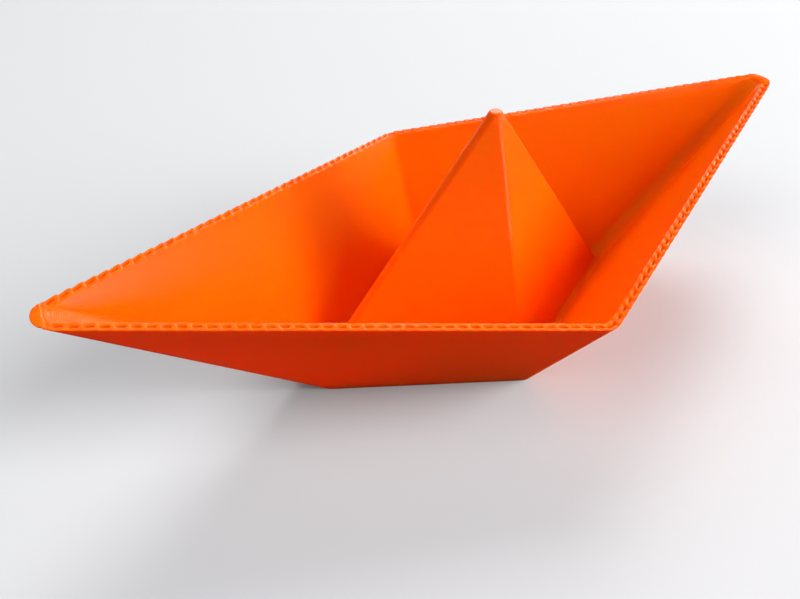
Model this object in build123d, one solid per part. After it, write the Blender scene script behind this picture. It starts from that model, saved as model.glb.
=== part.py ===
from build123d import *
import math
import os

# A boat in the form of the one that is folded from a sheet of paper, printed in plastic as one piece.
# The hull is an open tray with four flat sides that lean outwards and meet in two sharp ends.
# A four-sided pyramid, the sail, stands in the middle of it and is hollow from below, as the paper one is.
# The printer lays level layers, so the sloping rim is a stair with one small step for each layer.
# The boat stands on its base, z = 0. X runs from end to end, Y across, and all lengths are millimetres.

# Hull, outside. Reaches go to the sharp corner that two sides make, before it is rounded.
base_reach = 36.7
base_half_beam = 18.3
end_reach = 70.0
end_height = 32.55
waist_height = 23.6
end_radius_at_base = 3.75
end_radius_at_rim = 3.3
waist_radius = 2.8

# Sheet, and the rounding where it bends inside the hull
wall = 1.25
floor_thickness = 1.6
end_inner_radius_at_floor = 2.0
end_inner_radius_at_rim = 2.7
waist_inner_radius = 1.6

# Sail. Its reaches are those of its faces carried down to the base.
sail_reach = 34.0
sail_half_beam = 17.1
sail_peak = 43.8
sail_ridge_radius = 1.0
sail_tip_radius = 0.68
hollow_ridge_radius = 1.0

# Print. The rim has one step for each layer, and none of these is nearer to the end than shortest_end. One
# more layer follows tip_step past the last of them, because the end stands up a little above the rim's line.
layer_height = 0.2
shortest_end = 1.2
tip_step = 0.56

# What follows from them
end_rake = (end_reach - base_reach) / end_height
plan_angle = math.atan2(base_half_beam, base_reach)
sail_angle = math.atan2(sail_half_beam, sail_reach)
clear_of_rim = end_height - waist_height


def hull_reach(z):
    """Half-length of the outside of the hull at height z, to the sharp corner."""
    return base_reach + end_rake * z


def end_radius(z):
    """Radius outside the hull's ends at height z, which closes evenly from the base to the rim."""
    return end_radius_at_base + z / end_height * (end_radius_at_rim - end_radius_at_base)


def hull_end(z):
    """Half-length of the outside of the hull at height z, to its rounded end."""
    return hull_reach(z) - end_radius(z) * (1 / math.sin(plan_angle) - 1)


def end_inner_radius(z):
    """Radius inside the hull's ends at height z, which opens evenly from the floor to the rim."""
    share = (z - floor_thickness) / (end_height - floor_thickness)
    return end_inner_radius_at_floor + share * (end_inner_radius_at_rim - end_inner_radius_at_floor)


def plan_wall(reach_change, angle):
    """Level thickness of the sheet where its side moves out by reach_change for each millimetre of height."""
    return wall * math.hypot(1, reach_change * math.sin(angle))


def corner_arcs(z, reach, angle, end_round, waist_round):
    """Rounded corners of a lozenge at height z, in turn from the +X end, each from its start to its end."""
    quarter_turns = math.degrees(angle)
    end_centre = reach - end_round / math.sin(angle)
    waist_centre = reach * math.tan(angle) - waist_round / math.cos(angle)
    arcs = []
    for turn, x, y, radius, spread in (
        (0, end_centre, 0, end_round, 90 - quarter_turns),
        (90, 0, waist_centre, waist_round, quarter_turns),
        (180, -end_centre, 0, end_round, 90 - quarter_turns),
        (270, 0, -waist_centre, waist_round, quarter_turns),
    ):
        arcs.append(Edge.make_circle(radius, Plane((x, y, z)), turn - spread, turn + spread))
    return arcs


def leaning_block(low_arcs, high_arcs):
    """Solid between two rounded lozenges at two heights: flat sides, and a ruled face at each corner."""
    faces = []
    low_edges = []
    high_edges = []
    for number in range(4):
        following = (number + 1) % 4
        faces.append(Face.make_surface_from_curves(low_arcs[number], high_arcs[number]))
        low_start = low_arcs[number] @ 1
        low_end = low_arcs[following] @ 0
        high_start = high_arcs[number] @ 1
        high_end = high_arcs[following] @ 0
        low_edges += [low_arcs[number], Edge.make_line(low_start, low_end)]
        high_edges.append(high_arcs[number])
        corners = [low_start, low_end, high_end]
        if (high_end - high_start).length > layer_height:
            corners.append(high_start)
            high_edges.append(Edge.make_line(high_start, high_end))
        faces.append(Face(Wire.make_polygon(corners)))
    faces.append(Face(Wire(low_edges)))
    faces.append(Face(Wire(high_edges)))
    return Solid(Shell(faces))


def hull_block(bottom, top, inset, end_rounds, waist_round):
    """Block between two heights with the hull's leaning sides, inset by a level distance."""
    arcs = []
    for z, end_round in zip((bottom, top), end_rounds):
        reach = hull_reach(z) - inset / math.sin(plan_angle)
        arcs.append(corner_arcs(z, reach, plan_angle, end_round, waist_round))
    return leaning_block(*arcs)


def stepped_sheer():
    """Block under the rim: its top falls from each end to the waist by one layer at a time."""
    layer = math.floor(waist_height / layer_height + 0.5)
    right = []
    while True:
        middle = (layer + 0.5) * layer_height
        nose = end_reach * (middle - waist_height) / clear_of_rim
        if nose > hull_end(middle) - shortest_end:
            break
        right += [(nose, layer * layer_height), (nose, (layer + 1) * layer_height)]
        layer += 1
    last_nose, last_top = right[-1]
    tip_nose = last_nose + tip_step
    tip_top = last_top + layer_height
    right += [(tip_nose, last_top), (tip_nose, tip_top), (end_reach, tip_top)]
    left = [(-x, z) for x, z in reversed(right)]
    outline = left + right + [(end_reach, -wall), (-end_reach, -wall)]
    profile = Plane.XZ * make_face(Polyline(*outline, close=True))
    return extrude(profile, amount=end_reach, both=True)


def pyramid(reach, peak, ridge_round):
    """Pyramid on the base plane, with ridges of one level radius, up to where their corners meet."""
    top = peak * (1 - ridge_round / (math.sin(sail_angle) * reach))
    low = corner_arcs(0, reach, sail_angle, ridge_round, ridge_round)
    high = corner_arcs(top, ridge_round / math.sin(sail_angle), sail_angle, ridge_round, ridge_round)
    return leaning_block(low, high), top


def make_hull():
    """Hull without the sail: the outside less the tray, cut by the stepped rim."""
    outside = hull_block(0, end_height, 0, (end_radius(0), end_radius_at_rim), waist_radius)
    top = end_height + clear_of_rim
    rounds = (end_inner_radius_at_floor, end_inner_radius(top))
    tray = hull_block(floor_thickness, top, plan_wall(end_rake, plan_angle), rounds, waist_inner_radius)
    return (outside - tray) & stepped_sheer()


def make_sail():
    """Sail from within the floor to its tip, and the hollow that leaves its sheet as thick as the hull's."""
    form, top = pyramid(sail_reach, sail_peak, sail_ridge_radius)
    standing = split(form, Plane.XY.offset(floor_thickness / 2), keep=Keep.TOP)
    tip = Pos(0, 0, top + layer_height / 2) * Cone(sail_ridge_radius, sail_tip_radius, layer_height)
    hollow_reach = sail_reach - plan_wall(sail_reach / sail_peak, sail_angle) / math.sin(sail_angle)
    hollow, _ = pyramid(hollow_reach, sail_peak * hollow_reach / sail_reach, hollow_ridge_radius)
    return standing + tip, hollow


sail, hollow = make_sail()
boat = make_hull() + sail - hollow
boat.label = "boat"

os.makedirs("parts", exist_ok=True)
export_step(boat, "parts/boat.step")
print("solids", len(boat.solids()), "faces", len(boat.faces()), "volume", round(boat.volume, 1))
print("box", boat.bounding_box().min, boat.bounding_box().max)
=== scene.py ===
"""The look of the origami sailboat: one printed piece, its camera, its light and the table under it.

The boat's skin is one closed surface, worked out in numpy as rings of points. A ring runs once round the
boat, and the rings follow the section of the sheet: down the hollow under the sail, across the base, up
the outside, over the stepped rim, down the inside, across the floor and up the sail to its tip.
"""

# %% [markdown]
# The frame is the imported solid model. It gives the place, the size and the name of the one piece,
# and everything that follows is fitted to it. Its box is kept.

import math

import bpy
import numpy as np
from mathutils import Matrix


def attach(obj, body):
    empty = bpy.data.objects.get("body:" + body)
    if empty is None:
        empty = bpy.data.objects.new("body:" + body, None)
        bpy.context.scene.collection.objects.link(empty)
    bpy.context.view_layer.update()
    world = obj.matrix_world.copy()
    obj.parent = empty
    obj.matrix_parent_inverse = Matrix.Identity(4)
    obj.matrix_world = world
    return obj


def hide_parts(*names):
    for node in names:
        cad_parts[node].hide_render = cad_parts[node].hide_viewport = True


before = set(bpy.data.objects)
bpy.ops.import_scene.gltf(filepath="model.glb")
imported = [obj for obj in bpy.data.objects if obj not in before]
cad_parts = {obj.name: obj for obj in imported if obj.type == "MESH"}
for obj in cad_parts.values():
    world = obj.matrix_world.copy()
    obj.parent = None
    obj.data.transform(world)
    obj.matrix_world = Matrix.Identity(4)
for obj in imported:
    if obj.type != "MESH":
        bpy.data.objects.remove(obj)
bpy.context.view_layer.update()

# %% [markdown]
# The boat is given by a few lengths in millimetres, the same ones as the solid's, so that the look lies
# where the solid does. Reaches and beams go to the sharp corner that two sides make. The corners are then
# rounded, as every fold of a printed sheet is. Only the corner inside an end is a little tighter at the
# rim than the solid's, as the gloss beside it in the photograph shows.
#
# The walls lean, so a level cut through one is longer than its thickness. The rim slopes up to the ends,
# so each layer starts one step further out than the layer below it.

# %% Sizes of the boat
MM = 0.001
BASE_REACH, BASE_HALF_BEAM = 36.7, 18.3
END_REACH, END_HEIGHT, WAIST_HEIGHT = 70.0, 32.55, 23.6
END_RADIUS_AT_BASE, END_RADIUS_AT_RIM, WAIST_RADIUS = 3.75, 3.3, 2.8
WALL, FLOOR = 1.25, 1.6
END_INNER_AT_FLOOR, END_INNER_AT_RIM, WAIST_INNER = 2.0, 2.1, 1.6
SAIL_REACH, SAIL_HALF_BEAM, SAIL_PEAK = 34.0, 17.1, 43.8
RIDGE_RADIUS, TIP_RADIUS = 1.0, 0.68
LAYER, SHORTEST_END, TIP_STEP = 0.2, 1.2, 0.56

RAKE = (END_REACH - BASE_REACH) / END_HEIGHT
SLOPE = (END_HEIGHT - WAIST_HEIGHT) / END_REACH
HULL_ANGLE = math.atan2(BASE_HALF_BEAM, BASE_REACH)
SAIL_ANGLE = math.atan2(SAIL_HALF_BEAM, SAIL_REACH)
LEVEL_WALL = WALL * math.hypot(1, RAKE * math.sin(HULL_ANGLE))
LEVEL_SAIL_WALL = WALL * math.hypot(1, SAIL_REACH / SAIL_PEAK * math.sin(SAIL_ANGLE))
STEP = LAYER * END_REACH / (END_HEIGHT - WAIST_HEIGHT)
FIRST_LAYER_TOP = math.floor(WAIST_HEIGHT / LAYER + 0.5) * LAYER
FIRST_NOSE = (FIRST_LAYER_TOP + LAYER / 2 - WAIST_HEIGHT) / LAYER * STEP
print("step of the rim", round(STEP, 3), "mm long and", LAYER, "mm high")

# %% [markdown]
# Every level cut through the hull or the sail is a lozenge with rounded corners. It could be drawn once
# as a curve and then scaled, but scaling would change the roundings too. One function gives a quarter of
# it with any roundings, so that hull, tray, sail and hollow all come from the same few lines.

# %% Quarter of a rounded lozenge


def quarter(u, reach, angle, end_round, waist_round):
    """Points on a quarter of a rounded lozenge, from the waist (u = 0) to the end (u = 3).

    u from 0 to 1 turns round the waist's circle, 1 to 2 follows the flat side, 2 to 3 turns round the
    end's circle. Each circle touches both of its sides: its centre lies at radius / sine of the corner's
    half-angle from the sharp corner.
    """
    end_centre = reach - end_round / math.sin(angle)
    waist_centre = reach * math.tan(angle) - waist_round / math.cos(angle)
    turn = math.pi / 2 - angle * np.clip(u, 0, 1)
    end_turn = (math.pi / 2 - angle) * (3 - np.clip(u, 2, 3))
    along = np.clip(u - 1, 0, 1)
    start_x = waist_round * math.sin(angle)
    start_y = waist_centre + waist_round * math.cos(angle)
    stop_x = end_centre + end_round * math.sin(angle)
    stop_y = end_round * math.cos(angle)
    side_x = start_x + (stop_x - start_x) * along
    side_y = start_y + (stop_y - start_y) * along
    x = np.where(u > 2, end_centre + end_round * np.cos(end_turn), side_x)
    y = np.where(u > 2, end_round * np.sin(end_turn), side_y)
    x = np.where(u < 1, waist_round * np.cos(turn), x)
    y = np.where(u < 1, waist_centre + waist_round * np.sin(turn), y)
    return x, y


def place_of(x, reach, angle, end_round, waist_round):
    """The u at which the quarter passes a given x, on its waist circle or its flat side."""
    start_x = waist_round * math.sin(angle)
    stop_x = reach - end_round / math.sin(angle) + end_round * math.sin(angle)
    on_circle = np.arcsin(np.clip(x / waist_round, 0, 1)) / angle
    return np.where(x < start_x, on_circle, 1 + (x - start_x) / (stop_x - start_x))


def hull_reach(z):
    """Half-length of the hull's outside at height z, to its sharp corner."""
    return BASE_REACH + RAKE * z


def hull_round(z):
    """Radius outside the hull's ends at height z."""
    return END_RADIUS_AT_BASE + z / END_HEIGHT * (END_RADIUS_AT_RIM - END_RADIUS_AT_BASE)


def tray_reach(z):
    """Half-length of the hull's inside at height z, to its sharp corner."""
    return hull_reach(z) - LEVEL_WALL / math.sin(HULL_ANGLE)


def tray_round(z):
    """Radius inside the hull's ends at height z."""
    share = (z - FLOOR) / (END_HEIGHT - FLOOR)
    return END_INNER_AT_FLOOR + share * (END_INNER_AT_RIM - END_INNER_AT_FLOOR)


# %% [markdown]
# The rim slopes, but the printer lays level layers. Each layer therefore ends in a nose: the line of
# plastic comes along the outside of the wall, turns round and goes back along the inside, and the next
# layer up ends one step further on. Columns of points are set close together at each nose, so that its
# small riser stays crisp, and further apart on the tread between two noses. A bump texture would be less
# work, but it would leave the outline smooth, and there the steps show best.
#
# The stair stops short of the end. The rest of the end is a cap: one more layer, level, on which the
# columns fan out evenly.

# %% Columns of points
NOSE_TURN = 0.34
LINE_WIDTH = 0.44
RISER_FROM, RISER_TO, TIP_RISER = -0.14, 0.03, 0.04
WAIST_COLUMNS = [0, 0.2, 0.45]
CAP_COLUMNS, CAP_GAP = 40, 0.05
tip_layer = 0
while True:
    middle = FIRST_LAYER_TOP + (tip_layer + 0.5) * LAYER
    hull_end = hull_reach(middle) - hull_round(middle) * (1 / math.sin(HULL_ANGLE) - 1)
    if FIRST_NOSE + tip_layer * STEP > hull_end - SHORTEST_END:
        break
    tip_layer += 1
tip_nose = FIRST_NOSE + (tip_layer - 1) * STEP + TIP_STEP
tip_height = FIRST_LAYER_TOP + (tip_layer + 1) * LAYER
# A circle at the end starts at its radius * (1 / sine - sine) from the sharp corner.
circle_share = 1 / math.sin(HULL_ANGLE) - math.sin(HULL_ANGLE)
tray_stop = tray_reach(tip_height) - tray_round(tip_height) * circle_share
# Past each nose: both ends of the riser, the round edge, both sides of the valley's start, and the tread.
near_nose = np.array([RISER_FROM, RISER_TO, 0.08, 0.18, 0.36, LINE_WIDTH + 0.02, LINE_WIDTH + 0.14, 1.05])
noses = FIRST_NOSE + STEP * np.arange(tip_layer)
column_x = np.concatenate([WAIST_COLUMNS, (noses[:, None] + near_nose).ravel()])
column_x = column_x[column_x < tray_stop - CAP_GAP]
cap_share = np.linspace(0, 1, CAP_COLUMNS)
print("layers in the stair", tip_layer, "and the tip's height", round(tip_height, 2))


def tread_height(x):
    """Height of the layer's top at x, and the distance from x back to the last nose.

    The height goes up by one layer at each nose, over a short slanting riser, and once more at the tip.
    """
    number = np.clip(np.round((x - FIRST_NOSE) / STEP), 0, tip_layer - 1)
    past = x - FIRST_NOSE - number * STEP
    rise = np.clip((past - RISER_FROM) / (RISER_TO - RISER_FROM), 0, 1)
    on_tip = x - tip_nose
    tip_rise = np.clip((on_tip + TIP_RISER / 2) / TIP_RISER, 0, 1)
    top = FIRST_LAYER_TOP + LAYER * (number + rise + tip_rise)
    return top, np.where(on_tip > 0, on_tip, np.where(past > 0, past, past + STEP))


# %% [markdown]
# A line of melted plastic is a flat bead with round edges. So a layer's top drops off in a small quarter
# circle at the wall's two faces, and in a longer curve at its nose. Between the outer and the inner bead a
# narrow valley stays open, which shows as a dash on each step, with painted shade in it as well. A bevel
# modifier rounds every edge alike, so the drop is worked out for each point instead. The round edges and
# the valley's depth are a little larger than a printer leaves them, so that they show at the picture's
# size.

# %% Profile of the beads
BEAD_EDGE = 0.16
NOSE_SLOPE = 0.25
VALLEY_DEPTH, VALLEY_SIDE, VALLEY_CLOSES = 0.26, 0.1, 0.3


def quarter_drop(distance, radius):
    """Drop of a quarter circle at a distance inside its edge.

    It is radius - sqrt(radius^2 - (radius - distance)^2), and 0 from one radius inside the edge on.
    """
    inside = np.clip(radius - distance, 0, radius)
    return radius - np.sqrt(radius**2 - inside**2)


def valley_share(edge_distance, nose_distance, x):
    """1 in the valley between the two beads and 0 on them, with a smooth step on each side of it.

    The valley closes where x comes near the tip, because the last layers are laid solid there.
    """
    rise = np.clip((np.minimum(edge_distance, nose_distance) - LINE_WIDTH) / VALLEY_SIDE, 0, 1)
    return rise * rise * (3 - 2 * rise) * np.clip((tip_nose - x) / VALLEY_CLOSES, 0, 1)


def bead_drop(edge_distance, nose_distance, valley):
    """How far the surface lies under the layer's top: a round edge, and the depth of the valley."""
    round_edge = quarter_drop(np.minimum(edge_distance, nose_distance * NOSE_SLOPE), BEAD_EDGE)
    return round_edge + VALLEY_DEPTH * valley


# Distances from a face of the wall: over the round edge, along the bead and down the valley's side. Six
# shares of the way then cross the valley.
across = np.array([0, 0.012, 0.045, 0.1, 0.17, 0.33, LINE_WIDTH, LINE_WIDTH + VALLEY_SIDE])
between = np.linspace(0, 1, 8)[1:-1]

# %% [markdown]
# The wall is one thin sheet that follows the folds. A box cut to shape would need many cuts, and a stack
# of rings gives even faces that shade without streaks.
#
# Each ring is a quarter first, from the waist to the end, and is then mirrored round.
# On the rim a column keeps its x right across the wall, because the cut through the printed layers runs
# straight across the boat. At the ends the columns fan out from the inner circle to the outer one. At the
# waist two sides meet, so the turn of the noses starts at nothing there and is full at the third column.

# %% Rings of the hull
UNDER_RIM = 0.6
flat_count = len(column_x)
turned = np.clip(column_x / WAIST_COLUMNS[-1], 0, 1)
rings = []


def add_ring(x, y, z, valley=0.0, short_way=0.0):
    """Keeps a quarter ring as arrays of the same length: its place in millimetres, and two marks.

    A mark goes from 0 to 1. One says that a point lies in the valley between two beads, the other that
    light goes only a short way inside the plastic there.
    """
    rings.append(np.stack(np.broadcast_arrays(x, y, z, valley, short_way)).astype(float))


def outside_ring(z, places, inset=0.0):
    """Ring on the hull's outside at heights z, moved in by a level inset."""
    reach = hull_reach(z) - inset / math.sin(HULL_ANGLE)
    return quarter(places, reach, HULL_ANGLE, hull_round(z) - inset, WAIST_RADIUS - inset)


def inside_ring(z, places, inset=0.0):
    """Ring on the hull's inside at heights z, moved in by a level inset."""
    reach = tray_reach(z) - inset / math.sin(HULL_ANGLE)
    return quarter(places, reach, HULL_ANGLE, tray_round(z) - inset, WAIST_INNER - inset)


def columns(places):
    """Places u of the flat columns, then even shares of the way from the last one to the end, u = 3."""
    return np.concatenate([places, places[-1] + (3 - places[-1]) * cap_share[1:]])


def outer_places(x, z):
    """Places on the outside for columns that have a given x where the outside has height z."""
    return columns(place_of(x, hull_reach(z), HULL_ANGLE, hull_round(z), WAIST_RADIUS))


def inner_places(x, z):
    """The same on the inside."""
    return columns(place_of(x, tray_reach(z), HULL_ANGLE, tray_round(z), WAIST_INNER))


def rim_point(outer_distance=None, inner_distance=None, further=0.0):
    """Ring on the rim at a distance from its outer or its inner face, or a share of the rest further on.

    The point lies on the line between the two faces. Near a face a nose turns round, so the columns are
    moved along the wall by the drop of a quarter circle whose radius is the nose's turn. The last array
    marks the valley.
    """
    given = inner_distance if outer_distance is None else outer_distance
    back = quarter_drop(given, NOSE_TURN)
    face = rim_lift - quarter_drop(given, BEAD_EDGE)
    x_out, y_out = outside_ring(face, outer_places(column_x + back * turned, face[:flat_count]))
    x_in, y_in = inside_ring(face, inner_places(column_x + back * turned, face[:flat_count]))
    flat = np.arange(len(x_out)) < flat_count
    thickness = np.where(flat, LEVEL_WALL, np.hypot(x_out - x_in, y_out - y_in))
    distance = given + further * (thickness - 2 * given)
    share = distance / thickness
    if outer_distance is None:
        share = 1 - share
    x = x_out + (x_in - x_out) * share
    y = y_out + (y_in - y_out) * share
    top, past = tread_height(x - back)
    to_face = np.minimum(distance, thickness - distance)
    valley = valley_share(to_face, past, x)
    return x, y, top - bead_drop(to_face, past, valley), valley


sheer = WAIST_HEIGHT + SLOPE * column_x
full_sheer = np.concatenate([sheer, sheer[-1] + (tip_height - sheer[-1]) * cap_share[1:]])
outer_u = outer_places(column_x, sheer)
inner_u = inner_places(column_x, sheer)
# Where a column stands sets its layer, and the layer's height moves the leaning faces a little, so the two
# are worked out in turn. After three rounds they agree.
rim_lift = full_sheer
for _ in range(3):
    outer_x, _ = outside_ring(rim_lift, outer_places(column_x, rim_lift[:flat_count]))
    inner_x, _ = inside_ring(rim_lift, inner_places(column_x, rim_lift[:flat_count]))
    rim_lift, _ = tread_height((outer_x + inner_x) / 2)
under_rim = full_sheer - UNDER_RIM

# %% [markdown]
# The section starts under the boat. The sail is hollow from below, as it is in the folded paper boat, so
# the boat stands on a lozenge-shaped ring. The hollow's mouth has a small bevel, and the base a small
# round edge. No picture shows this side, so it gets few rings.

# %% Hollow, base and outside
MOUTH_BEVEL, MOUTH_WIDENS = 0.12, 0.6
BASE_EDGE = 0.15
hollow_reach = SAIL_REACH - LEVEL_SAIL_WALL / math.sin(SAIL_ANGLE)
hollow_peak = SAIL_PEAK * hollow_reach / SAIL_REACH


def pyramid_ring(z, reach, peak, inset=0.0):
    """Ring on a four-sided pyramid at height z, moved out by a level inset where that is negative."""
    sharp = np.maximum(reach * (1 - z / peak), RIDGE_RADIUS / math.sin(SAIL_ANGLE))
    level = sharp - inset / math.sin(SAIL_ANGLE)
    return quarter(inner_u, level, SAIL_ANGLE, RIDGE_RADIUS - inset, RIDGE_RADIUS - inset)


def peak_height(reach, peak):
    """Height at which the rounded ridges of a pyramid meet."""
    return peak * (1 - RIDGE_RADIUS / (math.sin(SAIL_ANGLE) * reach))


hollow_top = peak_height(hollow_reach, hollow_peak)
x, y = pyramid_ring(hollow_top, hollow_reach, hollow_peak)
add_ring(x * 0.5, y * 0.5, hollow_top)
# The hollow's rings, from its top to its mouth. They stand closer together at both.
for z in (hollow_top, hollow_top - 0.4, hollow_top * 0.5, 0.6, MOUTH_BEVEL):
    x, y = pyramid_ring(z, hollow_reach, hollow_peak)
    add_ring(x, y, z)
for turn in (0.35, 0.7, 1.0):
    share = math.sin(turn * math.pi / 2)
    x, y = pyramid_ring(0, hollow_reach, hollow_peak, -MOUTH_BEVEL * share * MOUTH_WIDENS)
    add_ring(x, y, MOUTH_BEVEL * (1 - share))
for turn in (0.0, 0.35, 0.7, 1.0):
    inset = BASE_EDGE * (1 - math.sin(turn * math.pi / 2))
    z = BASE_EDGE * (1 - math.cos(turn * math.pi / 2))
    add_ring(*outside_ring(z, outer_u, inset), z)
for share in (0.03, 0.35, 0.68, 0.93):
    z = full_sheer * share
    add_ring(*outside_ring(z, outer_u), z)

# %% [markdown]
# Over the rim: close rings on both round edges of the wall, and the valley between the two beads. The
# rings lie closest where the edge curves most. The rim and the sail carry the mark for a short way of
# light, which the plastic uses. A mark on the points keeps to these parts, where a mask by height would
# lay a band across the hull.

# %% Rim
turned_x = column_x + NOSE_TURN * turned
add_ring(*outside_ring(under_rim, outer_places(turned_x, under_rim[:flat_count])), under_rim)
for distance in across:
    add_ring(*rim_point(outer_distance=distance), short_way=1.0)
for share in between:
    add_ring(*rim_point(outer_distance=across[-1], further=share), short_way=1.0)
for distance in across[::-1]:
    add_ring(*rim_point(inner_distance=distance), short_way=1.0)
add_ring(*inside_ring(under_rim, inner_places(turned_x, under_rim[:flat_count])), under_rim)

# %% [markdown]
# Inside, the wall comes down to a narrow strip of floor, and the sail rises from it. They could be three
# meshes pushed into one another, but the real boat was laid in one go, and one skin leaves no line where
# they meet. Both joints are small hollow curves, because molten plastic doesn't leave a sharp inner
# corner. The sail ends in one small level layer with a round edge.

# %% Inside, floor and sail
FOOT, SAIL_FOOT_SHARE = 0.35, 0.8
for share in (0.9, 0.6, 0.3, 0.1):
    z = FLOOR + (full_sheer - FLOOR) * share
    add_ring(*inside_ring(z, inner_u), z)
for turn in (0.0, 0.3, 0.65, 1.0):
    inset = FOOT * (1 - math.cos(turn * math.pi / 2))
    z = FLOOR + FOOT * (1 - math.sin(turn * math.pi / 2))
    add_ring(*inside_ring(z, inner_u, inset), z)
for turn in (1.0, 0.65, 0.3, 0.0):
    inset = -FOOT * (1 - math.cos(turn * math.pi / 2)) * SAIL_FOOT_SHARE
    z = FLOOR + FOOT * (1 - math.sin(turn * math.pi / 2))
    x, y = pyramid_ring(z, SAIL_REACH, SAIL_PEAK, inset)
    add_ring(x, y, z, short_way=1.0)
sail_top = peak_height(SAIL_REACH, SAIL_PEAK)
for share in (0.1, 0.35, 0.65, 0.88, 0.97, 1.0):
    z = FLOOR + (sail_top - FLOOR) * share
    x, y = pyramid_ring(z, SAIL_REACH, SAIL_PEAK)
    add_ring(x, y, z, short_way=1.0)
x, y = pyramid_ring(sail_top, SAIL_REACH, SAIL_PEAK)
for scale, lift_up in ((0.97, 0.08), (0.88, 0.16), (TIP_RADIUS, LAYER), (TIP_RADIUS / 2, LAYER)):
    add_ring(x * scale, y * scale, sail_top + lift_up, short_way=1.0)

# %% [markdown]
# The quarter rings are mirrored into whole rings, two poles close the ends of the section, and the whole
# becomes one mesh with its faces outward. Vertices and faces are worked out as arrays and handed over in
# one call, which is much quicker than adding them one by one. The mesh stands for the solid and rides on
# the boat's one body.

# %% Mesh of the boat


def whole_ring(q):
    """A quarter ring (waist to end) mirrored into a full ring that starts at the +X end and runs by +Y."""
    x, y = q[0], q[1]
    xs = np.concatenate([x[::-1], -x[1:], -x[::-1][1:], x[1:-1]])
    ys = np.concatenate([y[::-1], y[1:], -y[::-1][1:], -y[1:-1]])
    rest = q[2:]
    same = np.concatenate([rest[:, ::-1], rest[:, 1:], rest[:, ::-1][:, 1:], rest[:, 1:-1]], axis=1)
    return np.concatenate([[xs, ys], same]).T


def mesh_from_rings(name, points):
    """Mesh of a stack of closed rings: quads between neighbours, and a fan to a pole at each end.

    The two marks of each point are kept beside its place, as attributes that the material reads.
    """
    rows, count, numbers = points.shape
    low_pole = points[0].mean(axis=0)
    high_pole = points[-1].mean(axis=0)
    all_points = np.concatenate([points.reshape(-1, numbers), [low_pole, high_pole]])
    vertices = all_points[:, :3] * MM
    here = np.arange(count)
    there = np.roll(here, -1)
    start = np.arange(rows - 1)[:, None] * count
    left, right = start + here, start + there
    quads = np.stack([left, right, right + count, left + count], axis=-1).reshape(-1, 4)
    low_fan = np.stack([np.full(count, rows * count), there, here], axis=-1)
    top = (rows - 1) * count
    high_fan = np.stack([top + here, top + there, np.full(count, rows * count + 1)], axis=-1)
    mesh = bpy.data.meshes.new(name)
    mesh.from_pydata(vertices.tolist(), [], quads.tolist() + low_fan.tolist() + high_fan.tolist())
    mesh.polygons.foreach_set("use_smooth", np.ones(len(mesh.polygons), dtype=bool))
    for title, values in (("valley", all_points[:, 3]), ("short_way", all_points[:, 4])):
        mesh.attributes.new(title, "FLOAT", "POINT").data.foreach_set("value", values.astype(np.float32))
    mesh.update()
    piece = bpy.data.objects.new(name, mesh)
    bpy.context.scene.collection.objects.link(piece)
    return piece


skin = np.stack([whole_ring(q) for q in rings])
boat = mesh_from_rings("printed_boat", skin)
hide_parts("boat")
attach(boat, "root")
print("rings", skin.shape[0], "points in a ring", skin.shape[1], "faces", len(boat.data.polygons))

# %% [markdown]
# Colours are written as sRGB hex, the numbers that a colour picker shows, and one function turns them
# into the linear numbers that light is worked out with. One more function adds a node with its settings
# and links, so that each material reads as a short list.

# %% Colours and a node helper


def linear(hex_colour):
    """sRGB hex to linear: c / 12.92 up to 0.04045, else ((c + 0.055) / 1.055) ^ 2.4."""
    values = [int(hex_colour[i : i + 2], 16) / 255 for i in (1, 3, 5)]
    return tuple(v / 12.92 if v <= 0.04045 else ((v + 0.055) / 1.055) ** 2.4 for v in values) + (1.0,)


def node(tree, kind, links=None, **settings):
    """Adds one node. Settings name its properties or its sockets, and i1 is the socket with number 1."""
    made = tree.nodes.new(kind)
    for key, value in settings.items():
        words = key.replace("_", " ")
        titles = {socket.name.lower(): socket for socket in made.inputs}
        if hasattr(made, key):
            setattr(made, key, value)
        elif words in titles:
            titles[words].default_value = value
        else:
            made.inputs[int(key.strip("i"))].default_value = value
    for socket, source in (links or {}).items():
        tree.links.new(source, made.inputs[socket])
    return made


# %% [markdown]
# The plastic is PLA, laid in level lines 0.2 mm high from a hot nozzle and left as it came off the
# machine. It has a satin gloss, and fine level lines cross the gloss. It is dyed right through and not
# quite opaque: red light goes millimetres deep, green and blue light a fraction of one, so what lies in
# shadow turns a deeper red. On the rim and the sail a shorter way comes closer to the real boat's colour.
# In the valleys of the rim the orange is painted a tone darker. This is painted shade, standing in for the
# little light that finds its way out of a valley.
#
# The lines could be a picture wrapped round the boat, but that would have to be matched at every fold. A
# wave that runs up the boat's own height meets at each fold by itself.

# %% Printed PLA
PLA_ROUGHNESS, PLA_IOR = 0.25, 1.46
LIGHT_WAY = (0.0045, 0.0003, 0.0001)
SHORT_WAY_SHARE = 0.15
LINE_BUMP, LINE_BUMP_STRENGTH = 0.00004, 0.5


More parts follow.
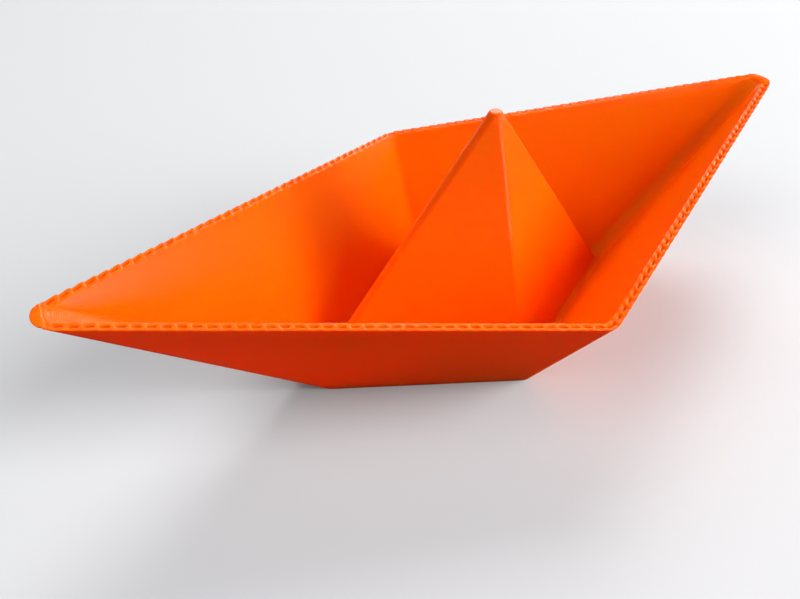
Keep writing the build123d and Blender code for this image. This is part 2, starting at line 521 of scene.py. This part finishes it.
def printed_pla():
    """Dyed PLA with painted shade in the rim's valleys, and level layer lines: a bump that repeats with
    each layer's height.

    The way of light (red, green, blue) and the bump are in metres, and a wave texture of scale s repeats
    every pi / (10 s) metres. A mix of colours has them in sockets 6 and 7, and its result in output 2.
    """
    material = bpy.data.materials.new("orange_pla_printed")
    material.use_nodes = True
    tree = material.node_tree
    shader = tree.nodes["Principled BSDF"]
    shader.inputs["Roughness"].default_value = PLA_ROUGHNESS
    shader.inputs["IOR"].default_value = PLA_IOR
    shader.inputs["Subsurface Weight"].default_value = 1.0
    shader.inputs["Subsurface Radius"].default_value = LIGHT_WAY
    # Painted shade: where the valley mark is 1, the orange is mixed down to a darker tone.
    valley = node(tree, "ShaderNodeAttribute", attribute_name="valley")
    dye_and_valley_shade = node(tree, "ShaderNodeMix", {"Factor": valley.outputs["Fac"]}, data_type="RGBA")
    dye_and_valley_shade.inputs[6].default_value = linear("#FF6400")
    dye_and_valley_shade.inputs[7].default_value = linear("#DE5400")
    tree.links.new(dye_and_valley_shade.outputs[2], shader.inputs["Base Color"])
    short = node(tree, "ShaderNodeAttribute", attribute_name="short_way")
    way = node(
        tree, "ShaderNodeMapRange", {"Value": short.outputs["Fac"]},
        i1=0.0, i2=1.0, i3=1.0, i4=SHORT_WAY_SHARE,
    )
    tree.links.new(way.outputs[0], shader.inputs["Subsurface Scale"])
    place = node(tree, "ShaderNodeTexCoord")
    lines = node(
        tree, "ShaderNodeTexWave", {"Vector": place.outputs["Object"]},
        wave_type="BANDS", bands_direction="Z", wave_profile="SIN", scale=math.pi / 10 / (LAYER * MM),
    )
    bump = node(
        tree, "ShaderNodeBump", {"Height": lines.outputs["Fac"]},
        strength=LINE_BUMP_STRENGTH, distance=LINE_BUMP,
    )
    tree.links.new(bump.outputs["Normal"], shader.inputs["Normal"])
    return material


boat.data.materials.append(printed_pla())

# %% [markdown]
# The table is a plain, pale disc, so that nothing but the boat draws the eye. A white floor would throw
# much light up at the hull, which gets little from below. So the material tells the camera's rays from
# the others: the camera sees the table pale, and the boat gets a little warm light from it.

# %% Table
TABLE_RADIUS = 0.8


def pale_table():
    """Pale for the camera, and a dark brown for the light that it throws back on the boat."""
    material = bpy.data.materials.new("pale_table")
    material.use_nodes = True
    tree = material.node_tree
    shader = tree.nodes["Principled BSDF"]
    shader.inputs["Roughness"].default_value = 0.9
    path = node(tree, "ShaderNodeLightPath")
    tint = node(tree, "ShaderNodeMix", {"Factor": path.outputs["Is Camera Ray"]}, data_type="RGBA")
    tint.inputs[6].default_value = linear("#663A22")
    tint.inputs[7].default_value = linear("#C4C5C7")
    tree.links.new(tint.outputs[2], shader.inputs["Base Color"])
    return material


bpy.ops.mesh.primitive_circle_add(vertices=180, radius=TABLE_RADIUS, fill_type="NGON")
table = bpy.context.object
table.name = "table"
table.data.materials.append(pale_table())

# %% [markdown]
# Daylight comes from a tall window at the right and a weaker one behind, and the room throws some back
# from the left. Three large, soft lamps give that light. What the gloss mirrors is kept apart from it, so
# that no pale haze lies over the colour: five low panes show in the plastic, on the left end, the ridge of
# the sail and the rim, and light nothing else. The room is dim for the boat and pale for the camera.

# %% Light
MIDDLE_HEIGHT = 0.02
ROOM_LIGHT, ROOM_SEEN = 0.05, 0.95


def lamp(name, azimuth, elevation, width, height, watts, mirrored=False):
    """White area lamp one metre from the boat, turned to its middle. Azimuth 0 is +X, turning to +Y.

    A mirrored lamp shows as gloss on the plastic and gives no other light, and the rest do the opposite.
    """
    a, e = math.radians(azimuth), math.radians(elevation)
    data = bpy.data.lights.new(name, "AREA")
    data.shape = "RECTANGLE"
    data.size = width
    data.size_y = height
    data.energy = watts
    made = bpy.data.objects.new(name, data)
    bpy.context.scene.collection.objects.link(made)
    away = np.array([math.cos(a) * math.cos(e), math.sin(a) * math.cos(e), math.sin(e)])
    made.location = tuple(away + np.array([0, 0, MIDDLE_HEIGHT]))
    made.rotation_euler = (math.pi / 2 - e, 0, a + math.pi / 2)
    made.visible_glossy = mirrored
    made.visible_diffuse = not mirrored
    return made


# Azimuth and elevation in degrees, width and height in metres, and watts.
lamp("window_right", -43, 29, 0.4, 0.93, 17.8)
lamp("window_back", 55, 46, 0.5, 0.5, 7.2)
lamp("room_left", 178, 48, 0.6, 0.6, 4.8)
lamp("pane_right", -51, 4, 0.12, 0.16, 2.2, mirrored=True)
lamp("pane_front", -73, 4, 0.42, 0.12, 1.8, mirrored=True)
lamp("pane_side", 8, 16, 0.5, 0.2, 1.7, mirrored=True)
lamp("pane_corner", 46, 26, 0.34, 0.2, 1.2, mirrored=True)
lamp("pane_back", 78, 14, 0.9, 0.12, 1.5, mirrored=True)
world = bpy.data.worlds.new("room")
bpy.context.scene.world = world
world.use_nodes = True
room = world.node_tree.nodes["Background"]
room.inputs["Color"].default_value = linear("#E8EAEC")
seen = node(world.node_tree, "ShaderNodeLightPath")
glow = node(
    world.node_tree, "ShaderNodeMapRange", {"Value": seen.outputs["Is Camera Ray"]},
    i1=0.0, i2=1.0, i3=ROOM_LIGHT, i4=ROOM_SEEN,
)
world.node_tree.links.new(glow.outputs[0], room.inputs["Strength"])

# %% [markdown]
# The camera stands where the photograph's did: about 12 cm from the boat, above its left near side,
# with the wide view of a phone. Its place, its turn and its lens were found by fitting the boat's straight
# edges to the photograph, which is surer than setting them by eye.

# %% Camera
camera_data = bpy.data.cameras.new("camera")
camera_data.lens = 27.251
camera_data.sensor_width = 36.0
camera_data.shift_x = 0.01473
camera_data.shift_y = 0.02181
camera_data.clip_start = 0.005
camera = bpy.data.objects.new("camera", camera_data)
camera.location = (-0.05413, -0.06255, 0.08194)
camera.rotation_euler = tuple(math.radians(v) for v in (44.5114, -0.3030, -30.0497))
bpy.context.scene.collection.objects.link(camera)
bpy.context.scene.camera = camera
bpy.context.scene.view_settings.view_transform = "Standard"
